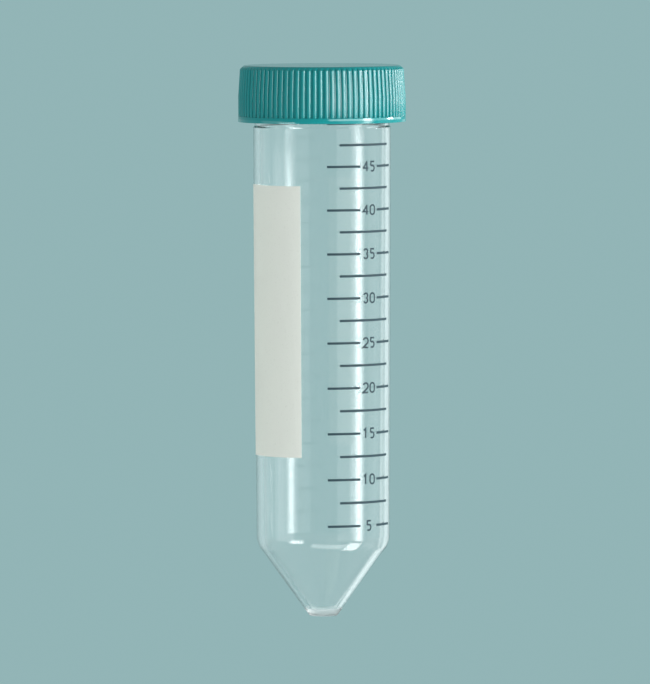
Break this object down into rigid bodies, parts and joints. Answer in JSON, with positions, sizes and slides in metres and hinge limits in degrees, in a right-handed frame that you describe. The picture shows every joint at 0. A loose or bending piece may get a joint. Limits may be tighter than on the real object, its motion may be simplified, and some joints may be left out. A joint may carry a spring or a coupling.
{
  "type": "conical centrifuge tube",
  "caption": "Clear conical-bottom laboratory tube with a printed volume scale, a white writing patch and a ribbed flat-top screw cap, stored standing on its cap.",
  "frame": {"origin": "centre of the cap's flat top face, which is the face that the tube stands on", "axes": "+Z along the tube's axis, from the cap towards the conical tip; the printed scale faces -Y and runs round to -X"},
  "size_m": [0.0356, 0.0356, 0.117],
  "materials": {
    "cap_plastic": "moulded aqua plastic, satin gloss",
    "seal_plastic": "soft natural white plastic",
    "clear_plastic": "clear moulded plastic, glossy",
    "white_print": "matt white print that takes a pen",
    "dark_print": "dark screen print"
  },
  "bodies": {
    "cap": {"screw_cap": "cap_plastic"},
    "seal": {"seal_disc": "seal_plastic"},
    "tube": {"tube": "clear_plastic", "writing_patch": "white_print", "scale_lines": "dark_print", "scale_numbers": "dark_print"}
  },
  "joints": [
    {"name": "tube_turn", "type": "hinge", "parent": "cap", "child": "seal", "pos_m": [0, 0, 0], "axis": [0, 0, 1], "range_deg": [0, 1080]},
    {"name": "tube_lift", "type": "slide", "parent": "seal", "child": "tube", "axis": [0, 0, 1], "range_m": [0, 0.012]}
  ],
  "couplings": [
    {"joint": "tube_lift", "follows": "tube_turn", "m_per_rad": 0.00063662}
  ]
}
